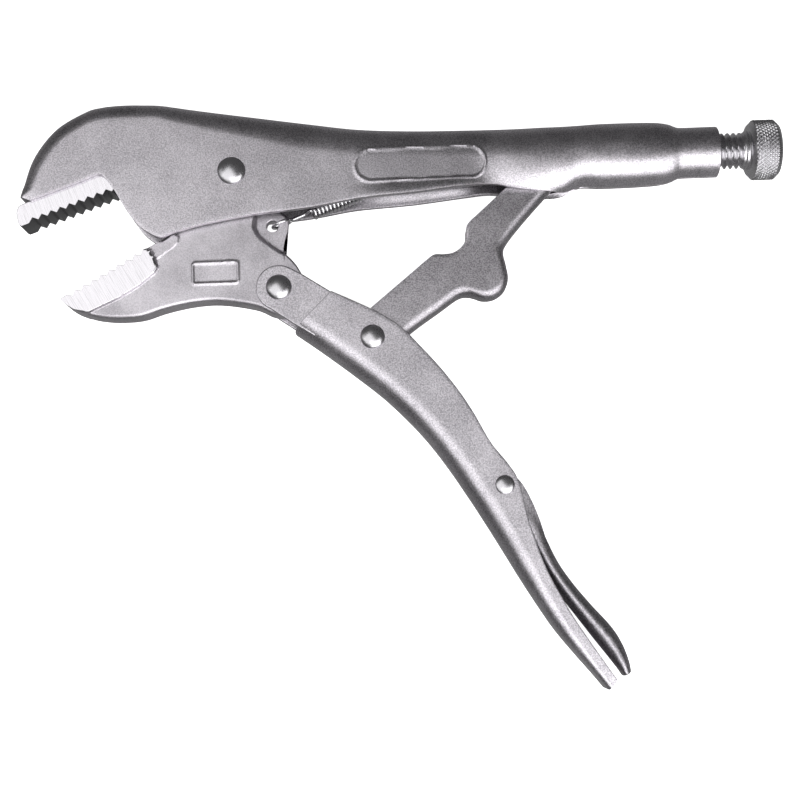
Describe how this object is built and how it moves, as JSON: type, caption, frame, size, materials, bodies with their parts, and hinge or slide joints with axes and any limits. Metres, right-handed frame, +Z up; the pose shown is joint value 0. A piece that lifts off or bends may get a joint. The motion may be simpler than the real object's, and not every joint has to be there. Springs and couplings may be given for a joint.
{
  "type": "locking pliers",
  "caption": "Straight-jaw locking pliers with toggle link, release lever, return spring and knurled adjusting screw.",
  "frame": {"origin": "bottom centre of the bounding box, with the tool lying on its side", "axes": "+X along the adjusting screw towards its knurled head, +Y towards the back of the fixed handle, +Z up, along the pivots"},
  "size_m": [0.2528, 0.1976, 0.021],
  "materials": {
    "satin_plated_steel": "blasted and nickel plated, satin",
    "milled_jaw_steel": "blasted, with milled bright sides",
    "bright_screw_steel": "bright plated, knurled head",
    "spring_wire": "bright drawn wire",
    "rivet_steel": "tumbled, plated"
  },
  "bodies": {
    "fixed_handle": {"upper_handle": "satin_plated_steel", "upper_jaw": "milled_jaw_steel", "jaw_pivot_rivet": "rivet_steel", "return_spring": "spring_wire"},
    "moving_jaw": {"lower_jaw": "milled_jaw_steel"},
    "moving_handle": {"lower_handle": "satin_plated_steel", "handle_pivot_rivet": "rivet_steel", "link_pivot_rivet": "rivet_steel", "lever_pivot_rivet": "rivet_steel"},
    "link": {"toggle_link": "satin_plated_steel"},
    "lever": {"release_lever": "satin_plated_steel"},
    "screw": {"adjusting_screw": "bright_screw_steel"}
  },
  "joints": [
    {"name": "jaw_closing", "type": "hinge", "parent": "fixed_handle", "child": "moving_jaw", "pos_m": [-0.0554, 0.07365, 0.0105], "axis": [0, 0, -1], "range_deg": [0, 22.5], "stiffness_Nm_per_rad": 0.44, "springref_deg": -25.78, "deforming": ["return_spring"]},
    {"name": "handle_swing", "type": "hinge", "parent": "moving_jaw", "child": "moving_handle", "pos_m": [-0.0411, 0.03445, 0.0105], "axis": [0, 0, 1], "range_deg": [0, 73.35]},
    {"name": "link_swing", "type": "hinge", "parent": "moving_handle", "child": "link", "pos_m": [-0.0112, 0.01675, 0.0105], "axis": [0, 0, -1], "range_deg": [0, 71.78]},
    {"name": "release_lever_swing", "type": "hinge", "parent": "moving_handle", "child": "lever", "pos_m": [0.0293, -0.03275, 0.0105], "axis": [0, 0, 1], "range_deg": [-3.5, 12]},
    {"name": "screw_travel", "type": "slide", "parent": "fixed_handle", "child": "screw", "axis": [1, 0, 0], "range_m": [0, 0.02]}
  ],
  "couplings": [
    {"joint": "handle_swing", "follows": "jaw_closing", "ratio": 3.26},
    {"joint": "link_swing", "follows": "jaw_closing", "ratio": 3.19}
  ]
}
